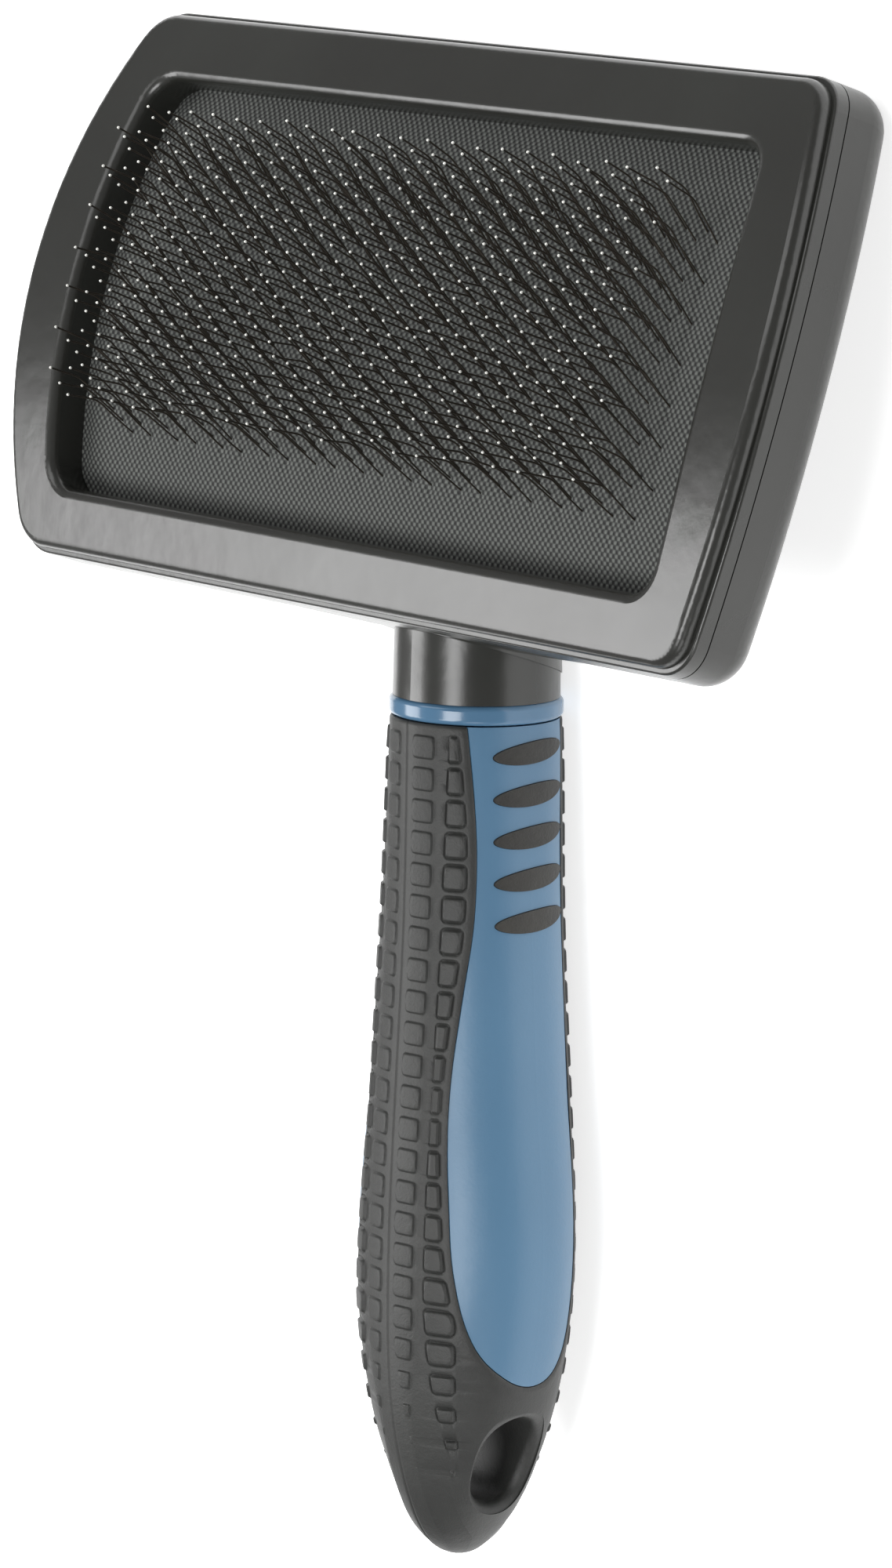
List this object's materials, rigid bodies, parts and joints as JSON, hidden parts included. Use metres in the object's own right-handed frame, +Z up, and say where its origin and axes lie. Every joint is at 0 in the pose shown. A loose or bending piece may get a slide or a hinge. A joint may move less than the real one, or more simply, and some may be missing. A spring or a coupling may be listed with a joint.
{
  "type": "slicker brush",
  "caption": "Pet slicker brush: wide arched head with a cushioned bed of kneed wire pins, two-tone rubber-covered handle with a hang hole.",
  "frame": {"origin": "middle of the brush's footprint at the height of the surface it lies on, pins up", "axes": "+X across the head, +Y from the handle's end towards the head's far edge, +Z up, the way the pins point"},
  "size_m": [0.1278, 0.1664, 0.032],
  "materials": {
    "charcoal_gloss_plastic": "gloss with a fine moulded grain",
    "charcoal_fabric": "matt close weave",
    "foundation_rubber": "matt",
    "cushion_foam": "matt open-cell foam",
    "pin_wire": "dark drawn wire with bright rounded tips",
    "blue_plastic": "satin",
    "blue_gloss_plastic": "gloss",
    "grip_rubber": "matt soft-touch"
  },
  "bodies": {
    "root": {"front_frame": "charcoal_gloss_plastic", "back_shell": "charcoal_gloss_plastic", "pad_face_fabric": "charcoal_fabric", "pad_rubber_foundation": "foundation_rubber", "pad_foam_cushion": "cushion_foam", "pin_row_01": "pin_wire", "pin_row_02": "pin_wire", "pin_row_03": "pin_wire", "pin_row_04": "pin_wire", "pin_row_05": "pin_wire", "pin_row_06": "pin_wire", "pin_row_07": "pin_wire", "pin_row_08": "pin_wire", "pin_row_09": "pin_wire", "pin_row_10": "pin_wire", "pin_row_11": "pin_wire", "pin_row_12": "pin_wire", "pin_row_13": "pin_wire", "pin_row_14": "pin_wire", "pin_row_15": "pin_wire", "pin_row_16": "pin_wire", "pin_row_17": "pin_wire", "pin_row_18": "pin_wire", "pin_row_19": "pin_wire", "pin_row_20": "pin_wire", "pin_row_21": "pin_wire", "pin_row_22": "pin_wire", "pin_row_23": "pin_wire", "pin_row_24": "pin_wire", "pin_row_25": "pin_wire", "pin_row_26": "pin_wire", "pin_row_27": "pin_wire", "pin_row_28": "pin_wire", "pin_row_29": "pin_wire", "handle_core": "blue_plastic", "collar_ring": "blue_gloss_plastic", "grip_rubber": "grip_rubber", "thumb_ribs_left": "grip_rubber", "thumb_ribs_right": "grip_rubber"}
  },
  "joints": []
}
